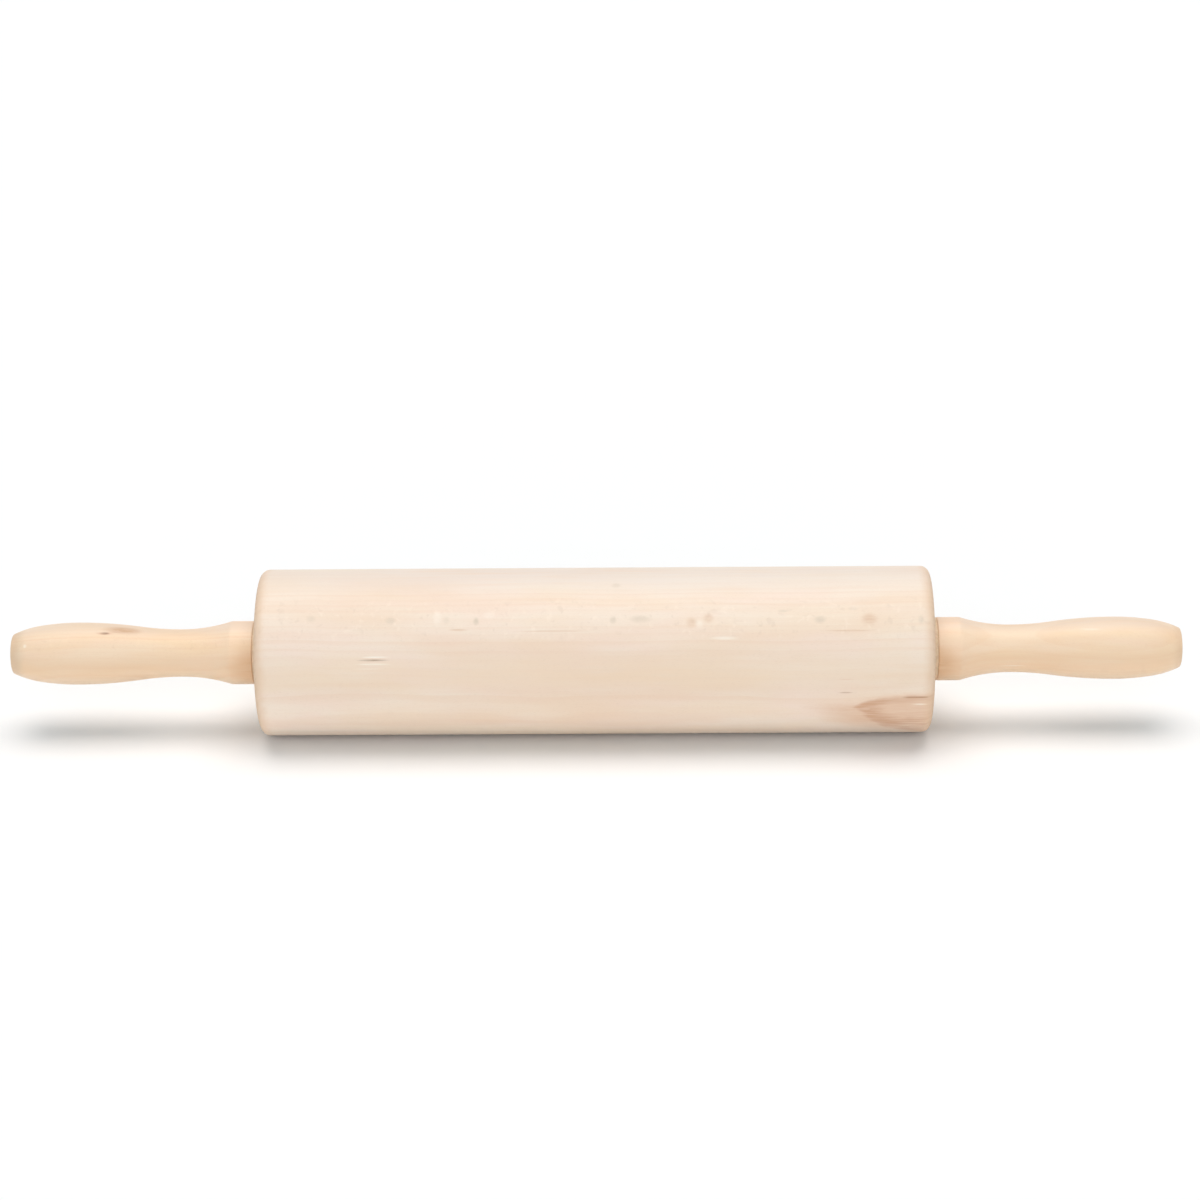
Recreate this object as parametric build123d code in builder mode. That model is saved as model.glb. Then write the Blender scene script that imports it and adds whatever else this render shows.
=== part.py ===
from build123d import *
import math
import os

# Roller pin: a wooden barrel that turns on two ball bearings between two turned handles.
# A steel rod runs right through it and carries the handles. All sizes are in millimetres.
# X runs along the rod, Z is up, and the origin is under the middle of the barrel, on the table.

# Barrel
barrel_length = 305.0
barrel_diameter = 76.0
barrel_rim_radius = 4.2
barrel_bore_diameter = 14.0

# Handle, from the collar by the barrel to the tip
handle_length = 111.0
collar_diameter = 29.0
collar_length = 10.5
neck_diameter = 21.8
belly_diameter = 28.5
tip_diameter = 17.8
collar_shoulder_radius = 6.0
collar_edge_radius = 0.6
tip_edge_radius = 1.2

# Places along the handle, as shares of its length
neck_place_share = 0.30
belly_place_share = 0.73
brow_place_share = 0.885

# Where the outline between the neck and the belly turns from hollow to round
rise_share = 0.40
# How far the outline has dropped from the belly towards the tip at the brow
brow_drop_share = 0.25

# Rod, turned down to a threaded stud at both ends
rod_diameter = 8.0
stud_diameter = 5.0
stud_chamfer = 0.5
stud_past_nut = 1.5
rod_socket_depth = 60.0

# Nut, washer and plug in the end of each handle
nut_sides = 6
nut_across_flats = 8.0
nut_thickness = 4.0
nut_chamfer = 0.5
washer_diameter = 10.0
washer_thickness = 1.0
pocket_diameter = 10.6
plug_length = 6.0
plug_chamfer = 0.3
plug_air_gap = 1.0

# Flanged spacer between each handle and its bearing
flange_thickness = 2.4
flange_chamfer = 0.3
hub_diameter = 11.6

# Ball bearing, 8 by 22 by 7
bearing_outer_diameter = 22.0
bearing_width = 7.0
bearing_inset = 1.5
pitch_diameter = 15.0
ball_diameter = 3.969
ball_count = 7
inner_land_diameter = 12.1
outer_land_diameter = 17.6
race_chamfer = 0.3

# Shields and ball cage of the bearing
shield_seat_diameter = 19.2
shield_thickness = 0.3
shield_sink = 0.35
cage_wall = 1.6
cage_back = 2.6
cage_front = 1.0

# Running gaps and fits, each on the radius or along the rod
running_gap = 0.8
end_float = 0.5
rod_fit = 0.03
socket_fit = 0.05
seat_fit = 0.02
thread_fit = 0.02
stud_hole_fit = 0.15
raceway_fit = 0.065
pocket_fit = 0.115
shield_gap = 0.25

# Places worked out from the sizes above, measured outwards from the middle of the rod
axle_height = barrel_diameter / 2
barrel_end = barrel_length / 2
flange_face = barrel_end + running_gap
handle_face = flange_face + flange_thickness
handle_tip = handle_face + handle_length
rod_shoulder = handle_face + rod_socket_depth
plug_floor = handle_tip - plug_length
stud_tip = plug_floor - plug_air_gap
nut_face = stud_tip - stud_past_nut - nut_thickness
pocket_floor = nut_face - washer_thickness
bearing_face = barrel_end - bearing_inset
bearing_place = bearing_face - bearing_width / 2
hub_end = bearing_face + end_float

# Radii that several pieces share
rod_radius = rod_diameter / 2
pitch_radius = pitch_diameter / 2
ball_radius = ball_diameter / 2
inner_land_radius = inner_land_diameter / 2
outer_land_radius = outer_land_diameter / 2
shield_seat_radius = shield_seat_diameter / 2
seat_radius = bearing_outer_diameter / 2
race_outer_radius = seat_radius - seat_fit
race_bore_radius = rod_radius + rod_fit
raceway_radius = ball_radius + raceway_fit
pocket_radius = pocket_diameter / 2

axle_line = Axis((0, 0, axle_height), (1, 0, 0))
sides = {"left": -1, "right": 1}

os.makedirs("parts", exist_ok=True)


def radial_plane(side):
    """Plane through the rod's axis: x runs outwards along the rod, y is the radius."""
    return Plane(origin=(0, 0, axle_height), x_dir=(side, 0, 0), z_dir=(0, -side, 0))


def outward_plane(side, place):
    """Plane across the rod at a place along it, facing outwards."""
    return Plane(origin=(side * place, 0, axle_height), x_dir=(0, side, 0), z_dir=(side, 0, 0))


def inward_plane(side, place):
    """Plane across the rod at a place along it, facing the middle."""
    return Plane(origin=(side * place, 0, axle_height), x_dir=(0, side, 0), z_dir=(-side, 0, 0))


def keep(builder, name):
    """Label a finished piece and write it to its own file."""
    builder.part.label = name
    export_step(builder.part, f"parts/{name}.step")
    print(name, "solids", len(builder.part.solids()), "volume", round(builder.part.volume, 1))


# Barrel: one length of hardwood with rounded rims, bored right through for the rod,
# with a seat for a bearing in each end
with BuildPart() as barrel:
    with BuildSketch(outward_plane(1, -barrel_end)):
        Circle(barrel_diameter / 2)
    extrude(amount=barrel_length)
    fillet(barrel.edges().filter_by(GeomType.CIRCLE), radius=barrel_rim_radius)
    with Locations(outward_plane(-1, barrel_end), outward_plane(1, barrel_end)):
        CounterBoreHole(
            radius=barrel_bore_diameter / 2,
            counter_bore_radius=seat_radius,
            counter_bore_depth=bearing_inset + bearing_width,
        )
keep(barrel, "barrel")

# Rod: a plain steel shaft whose ends are turned down to studs. The shoulders stop the handles
# from being drawn in against the barrel
with BuildPart() as axle_rod:
    with BuildSketch(outward_plane(1, -rod_shoulder)):
        Circle(rod_radius)
    extrude(amount=2 * rod_shoulder)
    for side in sides.values():
        with BuildSketch(outward_plane(side, rod_shoulder)):
            Circle(stud_diameter / 2)
        extrude(amount=stud_tip - rod_shoulder)
    stud_rims = axle_rod.edges().filter_by(GeomType.CIRCLE).sort_by(Axis.X)
    chamfer([stud_rims[0], stud_rims[-1]], length=stud_chamfer)
keep(axle_rod, "axle_rod")


def make_handle(side):
    """Turned handle: straight collar, hollow neck, full belly and a blunt rounded tip."""
    outwards = Axis((0, 0, 0), (side, 0, 0))
    collar_radius = collar_diameter / 2
    neck = Vector(handle_face + neck_place_share * handle_length, neck_diameter / 2)
    belly = Vector(handle_face + belly_place_share * handle_length, belly_diameter / 2)
    rise = neck + (belly - neck) * rise_share
    tip = Vector(handle_tip, tip_diameter / 2)
    brow = Vector(
        handle_face + brow_place_share * handle_length,
        belly.Y - (belly.Y - tip.Y) * brow_drop_share,
    )
    with BuildPart() as handle:
        with BuildSketch(radial_plane(side)):
            with BuildLine():
                face = Line((handle_face, 0), (handle_face, collar_radius))
                collar = Line(face @ 1, (handle_face + collar_length, collar_radius))
                TangentArc(neck, collar @ 1, tangent=(-1, 0))
                hollow = TangentArc(neck, rise, tangent=(1, 0))
                swell = TangentArc(rise, belly, tangent=hollow % 1)
                fall = TangentArc(belly, brow, tangent=swell % 1)
                TangentArc(brow, tip, tangent=fall % 1)
                Polyline(tip, (handle_tip, 0), (handle_face, 0))
            make_face()
        revolve(axis=axle_line)
        # Round edges counted outwards: the collar's face comes first, then its shoulder
        rings = handle.edges().filter_by(GeomType.CIRCLE).sort_by(outwards)
        fillet(rings[1], radius=collar_shoulder_radius)
        rings = handle.edges().filter_by(GeomType.CIRCLE).sort_by(outwards)
        fillet(rings[0], radius=collar_edge_radius)
        fillet(rings[-1], radius=tip_edge_radius)
        with Locations(outward_plane(side, handle_tip)):
            CounterBoreHole(
                radius=stud_diameter / 2 + stud_hole_fit,
                counter_bore_radius=pocket_radius,
                counter_bore_depth=handle_tip - pocket_floor,
            )
        with Locations(inward_plane(side, handle_face)):
            Hole(radius=rod_radius + socket_fit, depth=rod_socket_depth)
    return handle


def make_washer(side):
    """Plain washer on the floor of the pocket."""
    with BuildPart() as washer:
        with BuildSketch(outward_plane(side, pocket_floor)):
            Circle(washer_diameter / 2)
            Circle(stud_diameter / 2 + stud_hole_fit, mode=Mode.SUBTRACT)
        extrude(amount=washer_thickness)
    return washer


def make_nut(side):
    """Hexagon nut with its corners turned off on both faces, as a chamfered disc cut to six flats."""
    flats = nut_across_flats / 2
    corner_radius = flats / math.cos(math.pi / nut_sides)
    with BuildPart() as nut:
        with BuildSketch(outward_plane(side, nut_face)):
            Circle(corner_radius)
        extrude(amount=nut_thickness)
        chamfer(nut.edges().filter_by(GeomType.CIRCLE), length=nut_chamfer)
        with BuildSketch(outward_plane(side, nut_face)):
            RegularPolygon(radius=flats, side_count=nut_sides, major_radius=False)
        extrude(amount=nut_thickness, mode=Mode.INTERSECT)
        with Locations(outward_plane(side, nut_face + nut_thickness)):
            Hole(radius=stud_diameter / 2 + thread_fit)
    return nut


def make_end_plug(side):
    """Turned wooden plug, flush with the tip, that hides the nut."""
    with BuildPart() as plug:
        with BuildSketch(outward_plane(side, plug_floor)):
            Circle(pocket_radius - seat_fit)
        extrude(amount=plug_length)
        rims = plug.edges().filter_by(GeomType.CIRCLE)
        chamfer(rims, length=plug_chamfer)
    return plug


def make_spacer(side):
    """Flange of the collar's diameter, with a hub that reaches in to the bearing's inner race."""
    with BuildPart() as spacer:
        with BuildSketch(outward_plane(side, flange_face)):
            Circle(collar_diameter / 2)
        extrude(amount=flange_thickness)
        chamfer(spacer.edges().filter_by(GeomType.CIRCLE), length=flange_chamfer)
        with BuildSketch(outward_plane(side, hub_end)):
            Circle(hub_diameter / 2)
        extrude(amount=flange_face - hub_end)
        with Locations(outward_plane(side, handle_face)):
            Hole(radius=rod_radius + socket_fit)
    return spacer


def make_outer_race(side):
    """Outer ring with its raceway and a stepped seat for a shield at each face."""
    wall = race_outer_radius - outer_land_radius
    step_depth = shield_sink + shield_thickness
    step_place = (bearing_width - step_depth) / 2
    step_height = shield_seat_radius - outer_land_radius
    with BuildPart() as race:
        with BuildSketch(radial_plane(side)):
            with Locations((bearing_place, outer_land_radius + wall / 2)):
                Rectangle(bearing_width, wall)
            with Locations(
                (bearing_place - step_place, outer_land_radius + step_height / 2),
                (bearing_place + step_place, outer_land_radius + step_height / 2),
            ):
                Rectangle(step_depth, step_height, mode=Mode.SUBTRACT)
            with Locations((bearing_place, pitch_radius)):
                Circle(raceway_radius, mode=Mode.SUBTRACT)
        revolve(axis=axle_line)
        rings = race.edges().filter_by(GeomType.CIRCLE).group_by(SortBy.RADIUS)[-1]
        chamfer(rings, length=race_chamfer)
    return race


def make_inner_race(side):
    """Inner ring that sits on the rod, with its raceway."""
    wall = inner_land_radius - race_bore_radius
    with BuildPart() as race:
        with BuildSketch(radial_plane(side)):
            with Locations((bearing_place, race_bore_radius + wall / 2)):
                Rectangle(bearing_width, wall)
            with Locations((bearing_place, pitch_radius)):
                Circle(raceway_radius, mode=Mode.SUBTRACT)
        revolve(axis=axle_line)
    return race


def make_balls(side):
    """Ring of balls between the two raceways."""
    with BuildPart() as balls:
        with Locations(outward_plane(side, bearing_place)):
            with PolarLocations(pitch_radius, ball_count):
                Sphere(ball_radius)
    return balls


def make_ball_cage(side):
    """Crown cage: a ring whose pockets are open to one side, so that it snaps over the balls."""
    with BuildPart() as cage:
        with BuildSketch(outward_plane(side, bearing_place - cage_back)):
            Circle(pitch_radius + cage_wall / 2)
            Circle(pitch_radius - cage_wall / 2, mode=Mode.SUBTRACT)
        extrude(amount=cage_back + cage_front)
        with Locations(outward_plane(side, bearing_place)):
            with PolarLocations(pitch_radius, ball_count):
                Sphere(ball_radius + pocket_fit, mode=Mode.SUBTRACT)
    return cage


def make_shield(side, face_side):
    """Thin steel disc, seated in the outer race's step, that keeps flour out of the balls."""
    sunk_face = bearing_place + face_side * (bearing_width / 2 - shield_sink)
    with BuildPart() as shield:
        with BuildSketch(outward_plane(side, sunk_face)):
            Circle(shield_seat_radius - seat_fit)
            Circle(inner_land_radius + shield_gap, mode=Mode.SUBTRACT)
        extrude(amount=-face_side * shield_thickness)
    return shield


for name, side in sides.items():
    keep(make_handle(side), f"{name}_handle")
    keep(make_washer(side), f"{name}_washer")
    keep(make_nut(side), f"{name}_nut")
    keep(make_end_plug(side), f"{name}_end_plug")
    keep(make_spacer(side), f"{name}_spacer")
    keep(make_outer_race(side), f"{name}_outer_race")
    keep(make_inner_race(side), f"{name}_inner_race")
    keep(make_balls(side), f"{name}_balls")
    keep(make_ball_cage(side), f"{name}_ball_cage")
    keep(make_shield(side, 1), f"{name}_outer_shield")
    keep(make_shield(side, -1), f"{name}_inner_shield")
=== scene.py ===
# %% [markdown]
# # A wooden roller pin on a white table
#
# A roller pin is a thick barrel of pale hardwood that turns on two ball bearings, with a turned
# handle at each end that stays still in the hand. The measured model gives every piece its size,
# its place and the way it moves. This notebook gives the pieces their looks: the wood, the metal
# inside, the light and the camera. Lengths are metres, as in the measured model, and only the
# finishes reckon in millimetres.

# %% Load the measured model
import math

import bpy
from mathutils import Matrix, Vector, noise


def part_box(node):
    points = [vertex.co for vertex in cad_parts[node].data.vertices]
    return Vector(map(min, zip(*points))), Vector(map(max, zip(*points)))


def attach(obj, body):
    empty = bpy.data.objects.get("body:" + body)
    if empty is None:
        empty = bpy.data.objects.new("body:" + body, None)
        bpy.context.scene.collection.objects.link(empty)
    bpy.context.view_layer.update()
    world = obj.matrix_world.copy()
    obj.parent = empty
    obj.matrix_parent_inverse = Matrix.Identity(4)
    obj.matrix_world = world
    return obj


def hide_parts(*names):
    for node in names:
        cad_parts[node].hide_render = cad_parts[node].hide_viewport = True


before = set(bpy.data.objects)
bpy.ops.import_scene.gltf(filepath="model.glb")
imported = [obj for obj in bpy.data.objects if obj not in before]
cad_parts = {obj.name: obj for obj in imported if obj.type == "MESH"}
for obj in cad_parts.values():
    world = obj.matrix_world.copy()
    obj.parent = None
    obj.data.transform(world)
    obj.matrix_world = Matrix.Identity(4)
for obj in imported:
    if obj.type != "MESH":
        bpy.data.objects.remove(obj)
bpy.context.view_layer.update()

# %% Units and the axle's height
MM = 0.001
TO_MM = 1000
barrel_low, barrel_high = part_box("barrel")
AXLE = round((barrel_low[2] + barrel_high[2]) / 2, 4)
print("axle height in mm:", AXLE / MM)

# %% [markdown]
# ## The camera
#
# The picture was taken from a little above the table, with a long lens, almost square to the
# barrel. Such a view can be set by eye, but the edges of the barrel and the tips of the handles
# fix it better: their places in the picture give the height of the view, its small turn to the
# side, and the small roll of the camera that makes the right handle sit higher than the left.

# %% Camera values
VIEW_HEIGHT = math.radians(22.0)
VIEW_SIDE = math.radians(1.0)
VIEW_ROLL = math.radians(0.70)
VIEW_DISTANCE = 1.4739
VIEW_LENS = 96.64
VIEW_SENSOR, VIEW_END = 36, 100
AIM_SIDE, AIM_UP = -0.0017, -0.0157

# %% Place the camera
def place_camera():
    """Aim the camera at the pin and return it."""
    middle = Vector((0, 0, AXLE))
    back = Vector((
        math.sin(VIEW_SIDE) * math.cos(VIEW_HEIGHT),
        -math.cos(VIEW_SIDE) * math.cos(VIEW_HEIGHT),
        math.sin(VIEW_HEIGHT),
    ))
    right = Vector((math.cos(VIEW_SIDE), math.sin(VIEW_SIDE), 0))
    place = middle + back * VIEW_DISTANCE
    back = (back + right * AIM_SIDE + back.cross(right) * AIM_UP).normalized()
    right = (right - back * right.dot(back)).normalized()
    up = back.cross(right)
    rolled_right = right * math.cos(VIEW_ROLL) - up * math.sin(VIEW_ROLL)
    rolled_up = right * math.sin(VIEW_ROLL) + up * math.cos(VIEW_ROLL)
    data = bpy.data.cameras.new("view_camera")
    data.lens = VIEW_LENS
    data.sensor_width = VIEW_SENSOR
    data.clip_end = VIEW_END
    camera = bpy.data.objects.new("view_camera", data)
    camera.matrix_world = Matrix((
        (rolled_right.x, rolled_up.x, back.x, place.x),
        (rolled_right.y, rolled_up.y, back.y, place.y),
        (rolled_right.z, rolled_up.z, back.z, place.z),
        (0, 0, 0, 1),
    ))
    bpy.context.scene.collection.objects.link(camera)
    bpy.context.scene.camera = camera
    return camera


camera = place_camera()
bpy.context.scene.view_settings.view_transform = "Standard"
print("camera at", [round(value, 3) for value in camera.matrix_world.translation])

# %% [markdown]
# ## Building node trees
#
# Every finish here is a node tree. Written out in full, each node would take four lines, so small
# helpers carry the work. One adds a node and fills its inputs with values or with other nodes'
# outputs. The others stand for the sums, the noise and the mixes of colour that come up again and
# again. The finishes reckon in millimetres, so that the size of grain and pores can be read
# straight off.

# %% Helpers that add a node or a material
def fill(tree, socket, value):
    """Link a socket from an output, or set it to a value."""
    if isinstance(value, bpy.types.NodeSocket):
        tree.links.new(value, socket)
    else:
        socket.default_value = value


def put(tree, kind, inputs=None, **settings):
    """Add a node. Each input is a value, or an output to link from."""
    node = tree.nodes.new("ShaderNode" + kind)
    for name, value in settings.items():
        setattr(node, name, value)
    for key, value in (inputs or {}).items():
        fill(tree, node.inputs[key], value)
    return node


def start_paint(name):
    """An empty material and its node tree."""
    paint = bpy.data.materials.new(name)
    paint.use_nodes = True
    paint.node_tree.nodes.clear()
    return paint, paint.node_tree


# %% Helpers for sums
def reckon(tree, operation, *values):
    """One sum on numbers, as an output."""
    return put(tree, "Math", dict(enumerate(values)), operation=operation).outputs[0]


def plus(tree, one, other):
    """Two numbers added."""
    return reckon(tree, "ADD", one, other)


def minus(tree, one, other):
    """One number less another."""
    return reckon(tree, "SUBTRACT", one, other)


def times(tree, one, other):
    """Two numbers multiplied."""
    return reckon(tree, "MULTIPLY", one, other)


def ease(tree, value, start, end, low=0.0, high=1.0):
    """Turn a value from start to end smoothly into one from low to high."""
    settings = {"Value": value, "From Min": start, "From Max": end, "To Min": low, "To Max": high}
    return put(tree, "MapRange", settings, interpolation_type="SMOOTHSTEP").outputs["Result"]


def reckon_vector(tree, operation, *values):
    """One sum on vectors, as an output."""
    node = put(tree, "VectorMath", dict(enumerate(values)), operation=operation)
    return node.outputs["Value" if operation in ("LENGTH", "DOT_PRODUCT") else "Vector"]


def scaled(tree, place, scale):
    """A place times one number."""
    node = put(tree, "VectorMath", {0: place, "Scale": scale}, operation="SCALE")
    return node.outputs["Vector"]


def split(tree, place):
    """The three parts of a place."""
    return put(tree, "SeparateXYZ", {0: place}).outputs


def join(tree, x, y, z=0.0):
    """A place made of three parts."""
    return put(tree, "CombineXYZ", {"X": x, "Y": y, "Z": z}).outputs[0]


def squeeze(tree, place, x, y, z):
    """A place divided by a size of its own along each axis."""
    return reckon_vector(tree, "DIVIDE", place, join(tree, x, y, z))


def stretch(tree, place, across, along):
    """A place squeezed so that noise comes out across by across, and long in the grain."""
    return reckon_vector(tree, "MULTIPLY", place, (1 / along, 1 / across[0], 1 / across[1]))


# %% Helpers for noise and colour
def cloud(tree, place, scale, detail=2.0, rough=0.5, skew=0.0):
    """Noise from 0 to 1 at a place in millimetres."""
    settings = {"Vector": place, "Scale": scale, "Detail": detail, "Roughness": rough}
    settings["Distortion"] = skew
    return put(tree, "TexNoise", settings, noise_dimensions="3D").outputs["Fac"]


def tint(tree, share, colour_a, colour_b):
    """Mix two colours by a share. The Mix node's colours are inputs 6 and 7 and output 2."""
    settings = {0: share, 6: colour_a, 7: colour_b}
    return put(tree, "Mix", settings, data_type="RGBA").outputs[2]


def lay(tree, mask, strength, colour, over):
    """A colour with another laid over it where a mask shows."""
    return tint(tree, times(tree, mask, strength), colour, over)


def screen_colour(red, green, blue):
    """The linear colour of a screen colour given as 0 to 255."""
    def linear(value):
        value = value / 255
        return value / 12.92 if value <= 0.04045 else ((value + 0.055) / 1.055) ** 2.4
    return (linear(red), linear(green), linear(blue), 1.0)


def millimetres(tree):
    """The place on the piece, in millimetres."""
    return scaled(tree, put(tree, "TexCoord").outputs["Object"], TO_MM)


def dimmed(colour, share):
    """A colour times a share, never lighter than white."""
    return [min(1.0, channel * share) for channel in colour[:3]] + [1]


print("helpers ready")

# %% [markdown]
# ## Light and table
#
# The picture has the even light of a white studio: one wide soft lamp overhead, which leaves a
# narrow soft shadow under each handle, and white walls that fill in the front. A wide sun lamp
# gives such a soft overhead light without getting weaker to the sides, so it was chosen over an
# area lamp. A second, weaker one stands for the wall behind the camera, and the world for the rest.
# The lamp is a little warm and the rest of the room a little cool, so a level surface still gets
# white light, while a shadow, which only the room lights, stays grey beside the warm wood.

# %% Lamps
def add_sun(name, strength, spread, towards, colour):
    """A sun lamp whose light goes the way given, spread over an angle in degrees."""
    data = bpy.data.lights.new(name, "SUN")
    data.energy = strength * math.pi
    data.angle = math.radians(spread)
    data.color = colour
    lamp = bpy.data.objects.new(name, data)
    lamp.rotation_euler = Vector(towards).to_track_quat("-Z", "Y").to_euler()
    bpy.context.scene.collection.objects.link(lamp)


OVERHEAD_LIGHT, OVERHEAD_SPREAD = 0.59, 54
FRONT_LIGHT, FRONT_SPREAD = 0.39, 70
ALMOST_DOWN, INTO_THE_PICTURE = (0, -0.08, -1), (0, 0.99, -0.14)
WARM_LAMP, WHITE_WALL = (1.11, 0.985, 0.905), (1.01, 0.975, 1.0)
add_sun("overhead_lamp", OVERHEAD_LIGHT, OVERHEAD_SPREAD, ALMOST_DOWN, WARM_LAMP)
add_sun("front_wall", FRONT_LIGHT, FRONT_SPREAD, INTO_THE_PICTURE, WHITE_WALL)
print("lamps:", OVERHEAD_LIGHT, FRONT_LIGHT)

# %% What the camera sees behind things
def seen_rays(tree):
    """1 for rays that the camera, a mirror or a glass sends out, 0 for rays that carry light."""
    path = put(tree, "LightPath").outputs
    shown = reckon(tree, "MAXIMUM", path["Is Camera Ray"], path["Is Glossy Ray"])
    return reckon(tree, "MAXIMUM", shown, path["Is Transmission Ray"])


ROOM_LIGHT = 0.35
ROOM_COLOUR = (0.795, 1.03, 1.15, 1)
PURE_WHITE = (1, 1, 1, 1)


def paint_room():
    """A room that lights evenly and shows white."""
    world = bpy.data.worlds.new("white_room")
    world.use_nodes = True
    tree = world.node_tree
    tree.nodes.clear()
    lit = put(tree, "Background", {"Color": ROOM_COLOUR, "Strength": ROOM_LIGHT}).outputs[0]
    shown = put(tree, "Background", {"Color": PURE_WHITE, "Strength": 1.0}).outputs[0]
    both = put(tree, "MixShader", {0: seen_rays(tree), 1: lit, 2: shown})
    put(tree, "OutputWorld", {"Surface": both.outputs[0]})
    bpy.context.scene.world = world


paint_room()
print("room:", ROOM_LIGHT)

# %% [markdown]
# The table is plain white. The light that falls on it adds up to a little over one, so its colour
# for the rays that the camera sees is set just low enough for the open board to come out white and
# for a shadow to keep its depth. For the light that it throws back onto the pin it stays an
# ordinary white. A Mix node that reads the kind of ray keeps the two apart.

# %% The white table
TABLE_HALF = 30.0
TABLE_SHOWN = (0.99, 0.995, 1.0, 1)
TABLE_REAL = (0.98, 0.98, 0.98, 1)


def lay_table():
    """A flat board under the pin."""
    mesh = bpy.data.meshes.new("white_table")
    corners = [
        (-TABLE_HALF, -TABLE_HALF, 0), (TABLE_HALF, -TABLE_HALF, 0),
        (TABLE_HALF, TABLE_HALF, 0), (-TABLE_HALF, TABLE_HALF, 0),
    ]
    mesh.from_pydata(corners, [], [(0, 1, 2, 3)])
    table = bpy.data.objects.new("white_table", mesh)
    bpy.context.scene.collection.objects.link(table)
    paint, tree = start_paint("table_white")
    white = tint(tree, seen_rays(tree), TABLE_REAL, TABLE_SHOWN)
    board = put(tree, "BsdfDiffuse", {"Color": white})
    put(tree, "OutputMaterial", {"Surface": board.outputs[0]})
    mesh.materials.append(paint)
    return table


table = lay_table()
print("table:", table.name)

# %% [markdown]
# ## Groups that the finishes share
#
# Wood is not painted on: the pattern on a turned piece is what its surface happens to cut through
# in the trunk. So the wood here is solid, worked out from the place in the trunk and never from a
# flat drawing. The first group turns a place on the piece into a place in the trunk: how far along
# the grain, how far out from the heart, and how far round. All the other wood groups read that.

# %% Helpers that start, finish and use a group
TRUNK_PLACE = ("Trunk Place", "Vector", (0, 0, 0))
PIECE_PLACE = ("Piece Place", "Vector", (0, 0, 0))
NORMAL = ("Normal", "Vector", (0, 0, 1))


def start_group(name, takes, gives):
    """An empty group, with the outputs of its input node and the inputs of its output node."""
    group = bpy.data.node_groups.new(name, "ShaderNodeTree")
    for label, kind, value in takes:
        socket = group.interface.new_socket(label, in_out="INPUT", socket_type="NodeSocket" + kind)
        socket.default_value = value
    for label, kind in gives:
        group.interface.new_socket(label, in_out="OUTPUT", socket_type="NodeSocket" + kind)
    given = group.nodes.new("NodeGroupInput").outputs
    result = group.nodes.new("NodeGroupOutput").inputs
    return group, given, result


def give(group, result, outputs):
    """Link what a group puts out, and return the group."""
    for label, output in outputs.items():
        group.links.new(output, result[label])
    return group


def use(tree, group, inputs):
    """Place a group in a tree and return its outputs."""
    node = tree.nodes.new("ShaderNodeGroup")
    node.node_tree = group
    for key, value in inputs.items():
        fill(tree, node.inputs[key], value)
    return node.outputs


# %% Group: place in the trunk
ARC_RADIUS = 110.0
SWAY_LENGTH, SWAY_WIDTH, SWAY_REACH = 110, 60, 4


def make_trunk_place():
    """Along the grain, out from the heart and round it, in millimetres."""
    group, given, result = start_group(
        "trunk_place",
        [
            ("Place", "Vector", (0, 0, 0)), ("Heart", "Vector", (0, 100, 0)),
            ("Cut From", "Vector", (0, 0, 0)), ("Sway", "Float", 1.5),
        ],
        [("Trunk Place", "Vector"), ("Piece Place", "Vector"), ("Outwards", "Vector")],
    )
    here = scaled(group, given["Place"], TO_MM)
    moved = reckon_vector(group, "ADD", here, given["Cut From"])
    slow = stretch(group, moved, (SWAY_WIDTH, SWAY_WIDTH), SWAY_LENGTH)
    sway = put(group, "TexNoise", {"Vector": slow, "Scale": 1.0, "Detail": 2.0}, noise_dimensions="3D")
    sway = reckon_vector(group, "SUBTRACT", sway.outputs["Color"], (0.5, 0.5, 0.5))
    drift = scaled(group, sway, given["Sway"])
    drift = reckon_vector(group, "MULTIPLY", drift, (0, SWAY_REACH, SWAY_REACH))
    out = reckon_vector(group, "SUBTRACT", reckon_vector(group, "ADD", here, drift), given["Heart"])
    parts = split(group, out)
    along = split(group, moved)["X"]
    squares = [times(group, parts[axis], parts[axis]) for axis in "YZ"]
    radius = reckon(group, "SQRT", plus(group, *squares))
    turn = times(group, reckon(group, "ARCTAN2", parts["Z"], parts["Y"]), ARC_RADIUS)
    trunk = join(group, along, radius, turn)
    flat = reckon_vector(group, "MULTIPLY", out, (0, 1, 1))
    outwards = reckon_vector(group, "NORMALIZE", flat)
    return give(group, result, {"Trunk Place": trunk, "Piece Place": here, "Outwards": outwards})


trunk_place = make_trunk_place()

# %% [markdown]
# A pale wood such as birch or beech has thin year lines. Each year starts light and gets a little
# darker towards its end, and years differ from each other. The group gives the dark end of each
# year as one mask and a random tone for each year as another.

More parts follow.
